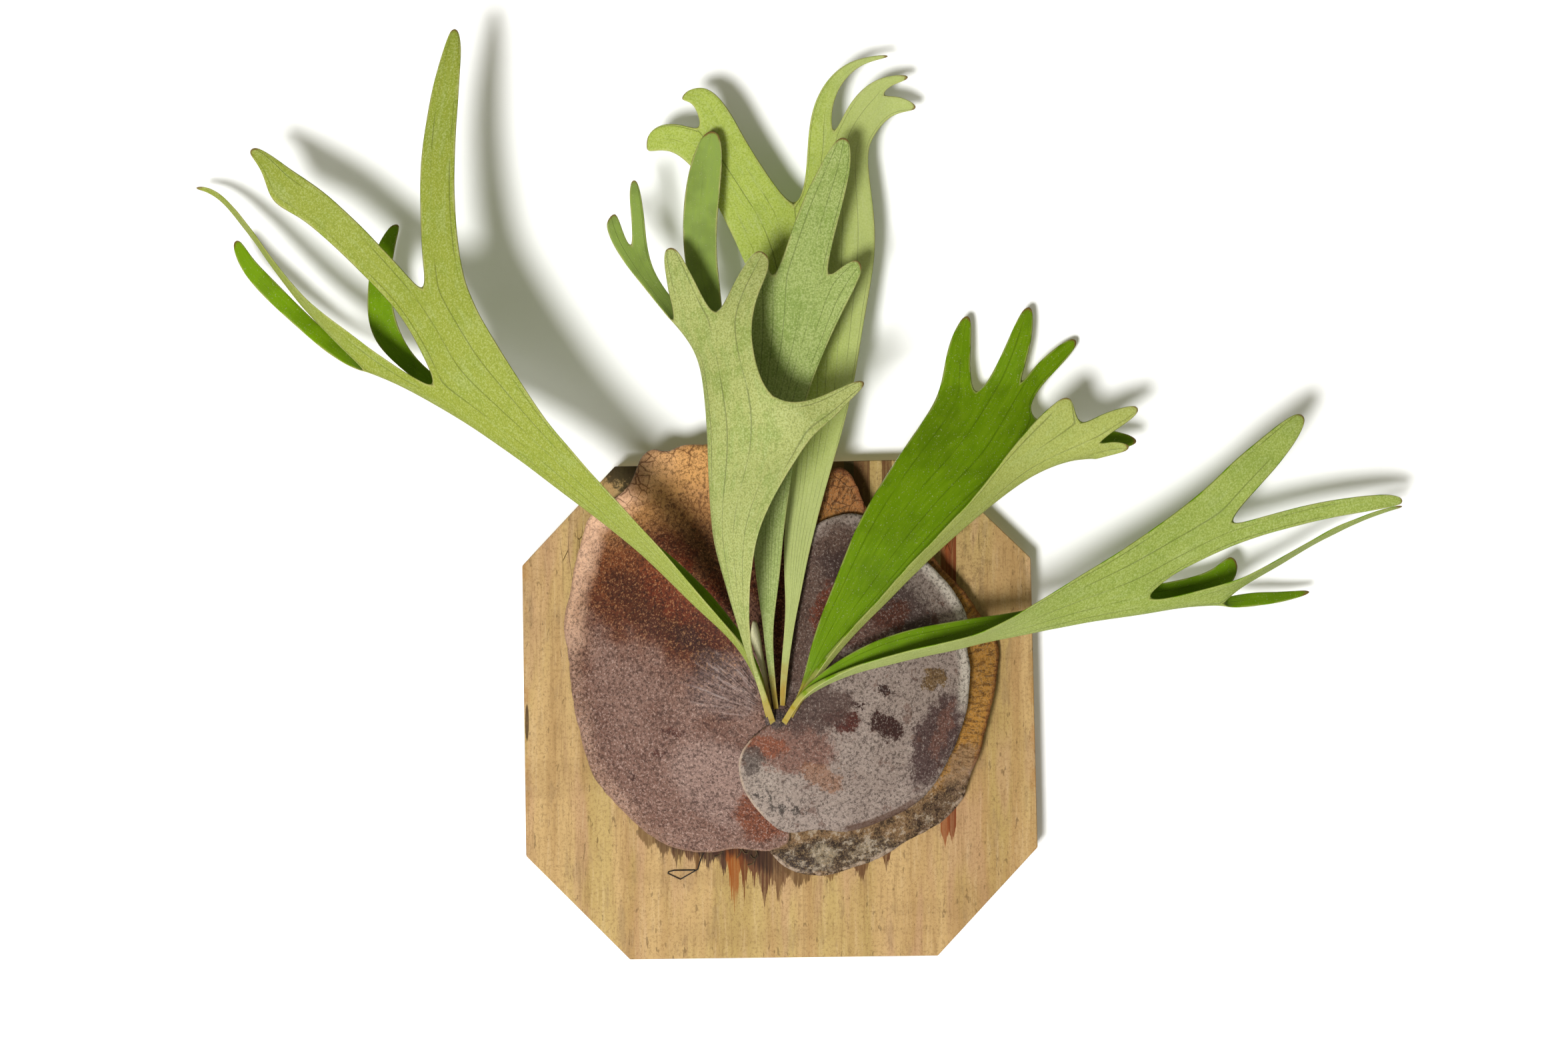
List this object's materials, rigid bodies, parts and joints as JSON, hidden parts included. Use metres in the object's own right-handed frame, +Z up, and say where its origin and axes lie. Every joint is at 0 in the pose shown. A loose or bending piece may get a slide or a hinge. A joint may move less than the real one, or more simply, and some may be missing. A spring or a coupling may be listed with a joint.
{
  "type": "mounted staghorn fern",
  "caption": "Staghorn fern tied to an octagonal wooden board that hangs flat on a wall, with forked antler-like fronds and dry papery shields.",
  "frame": {"origin": "centre of the board's back face, on the wall", "axes": "+Z up, +Y into the wall along the normal of the board's back face, the plant faces -Y, and +X is to the right of somebody facing the plant"},
  "size_m": [0.7075, 0.1077, 0.5391],
  "materials": {
    "wood": "rough sawn, weathered",
    "roots": "fibrous moss and roots",
    "old_shield": "dry, papery and matte",
    "left_shield": "dry leaf with a soft sheen",
    "right_shield": "dry leaf with a soft sheen",
    "crown": "scaly and fuzzy",
    "frond": "living leaf, satin above and felted below",
    "wire": "dark coated wire"
  },
  "bodies": {
    "root": {"board": "wood", "root_ball": "roots", "old_shield": "old_shield", "left_shield": "left_shield", "right_shield": "right_shield", "crown": "crown", "frond_left": "frond", "frond_front": "frond", "frond_middle": "frond", "frond_back": "frond", "frond_right": "frond", "frond_far_right": "frond", "young_frond": "frond", "tie_wire": "wire"}
  },
  "joints": []
}
